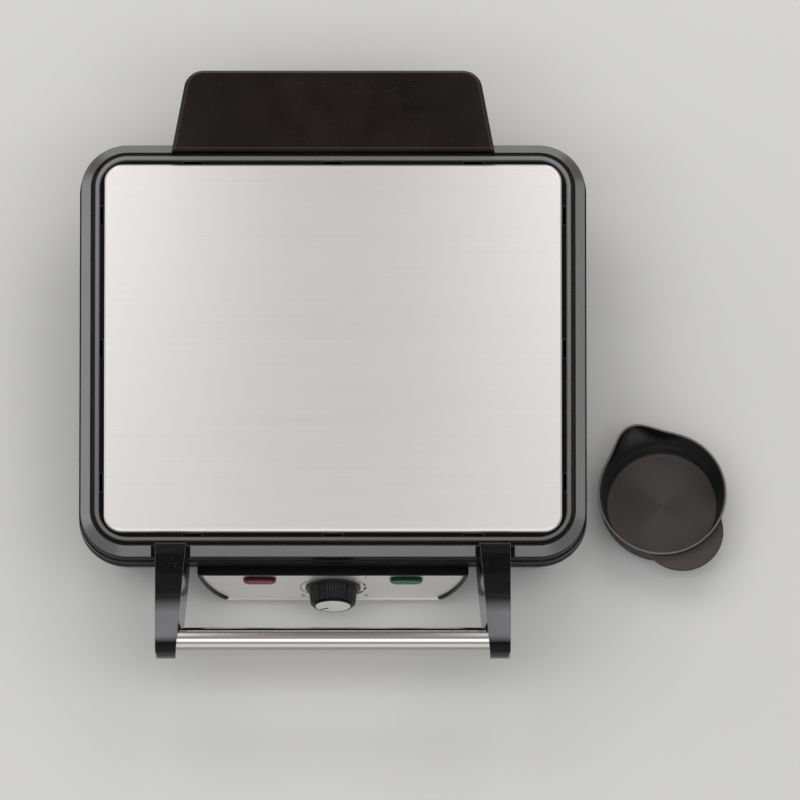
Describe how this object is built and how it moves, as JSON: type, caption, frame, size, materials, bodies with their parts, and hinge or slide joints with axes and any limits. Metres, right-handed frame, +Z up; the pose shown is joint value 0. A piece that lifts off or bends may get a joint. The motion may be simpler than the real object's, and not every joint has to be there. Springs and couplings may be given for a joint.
{
  "type": "contact grill",
  "caption": "Electric table contact grill with a hinged floating lid, front bar handle, thermostat knob, indicator lamps, ribbed plates and a loose drip cup.",
  "frame": {"origin": "the flat underside of the base moulding, in the plane of symmetry of the grill and halfway along the depth of the lid; the round datum pad in its middle stands 0.8 mm proud of it, and the table top lies 6 mm lower, under the rubber feet", "axes": "+X to the user's right, +Y to the rear towards the hinge, +Z up"},
  "size_m": [0.4245, 0.398, 0.1039],
  "materials": {
    "black_plastic": "fine satin moulding",
    "gloss_black_plastic": "gloss black moulding",
    "satin_silver": "satin silver paint",
    "red_lens": "clear red lens",
    "green_lens": "clear green lens",
    "lamp_body": "plain",
    "zinc_steel": "zinc plated",
    "coated_aluminium": "black non-stick coating on cast aluminium",
    "heater_tube": "heat-darkened steel tube",
    "aluminised_sheet": "bright rolled sheet",
    "ceramic_block": "unglazed",
    "foot_rubber": "matt",
    "brushed_panel": "brushed from left to right",
    "polished_steel": "polished tube",
    "die_cast_alloy": "as cast",
    "cup_plastic": "satin heat-proof moulding"
  },
  "bodies": {
    "base": {"base_shell": "black_plastic", "base_rim": "gloss_black_plastic", "control_fascia": "gloss_black_plastic", "control_plate": "satin_silver", "power_lamp_lens": "red_lens", "ready_lamp_lens": "green_lens", "power_lamp": "lamp_body", "ready_lamp": "lamp_body", "thermostat": "zinc_steel", "thermostat_nut": "zinc_steel", "lower_plate": "coated_aluminium", "lower_heater": "heater_tube", "lower_reflector": "aluminised_sheet", "lower_plate_screws": "zinc_steel", "thermal_fuse": "zinc_steel", "terminal_block": "ceramic_block", "foot_front_left": "foot_rubber", "foot_front_right": "foot_rubber", "foot_rear_left": "foot_rubber", "foot_rear_right": "foot_rubber", "foot_screws": "zinc_steel", "hinge_post_left": "black_plastic", "hinge_post_right": "black_plastic", "cord_gland": "foot_rubber", "cup_bay_liner": "black_plastic", "fat_spout": "coated_aluminium"},
    "axle": {"hinge_rod": "zinc_steel", "rod_clips": "zinc_steel"},
    "lid": {"lid_shell": "gloss_black_plastic", "lid_panel": "brushed_panel", "upper_plate": "coated_aluminium", "upper_heater": "heater_tube", "upper_reflector": "aluminised_sheet", "upper_plate_screws": "zinc_steel", "handle_arm_left": "gloss_black_plastic", "handle_arm_right": "gloss_black_plastic", "handle_bar": "polished_steel", "handle_tie_rod": "zinc_steel", "handle_screws": "zinc_steel", "hinge_hood": "gloss_black_plastic", "hinge_lug_left": "die_cast_alloy", "hinge_lug_right": "die_cast_alloy"},
    "knob": {"knob": "black_plastic", "knob_cap": "satin_silver", "thermostat_shaft": "zinc_steel"},
    "cup": {"drip_cup": "cup_plastic"}
  },
  "joints": [
    {"name": "hinge_float", "type": "slide", "parent": "base", "child": "axle", "axis": [0, 0, 1], "range_m": [0, 0.01]},
    {"name": "lid_hinge", "type": "hinge", "parent": "axle", "child": "lid", "pos_m": [0, 0.165, 0.066], "axis": [-1, 0, 0], "range_deg": [0, 100]},
    {"name": "knob_turn", "type": "hinge", "parent": "base", "child": "knob", "pos_m": [0, -0.1459, 0.032], "axis": [0, 1, 0], "range_deg": [0, 270]},
    {"name": "cup_slide", "type": "slide", "parent": "base", "child": "cup", "axis": [-0.9859, 0.1674, 0], "range_m": [0, 0.05376]}
  ]
}
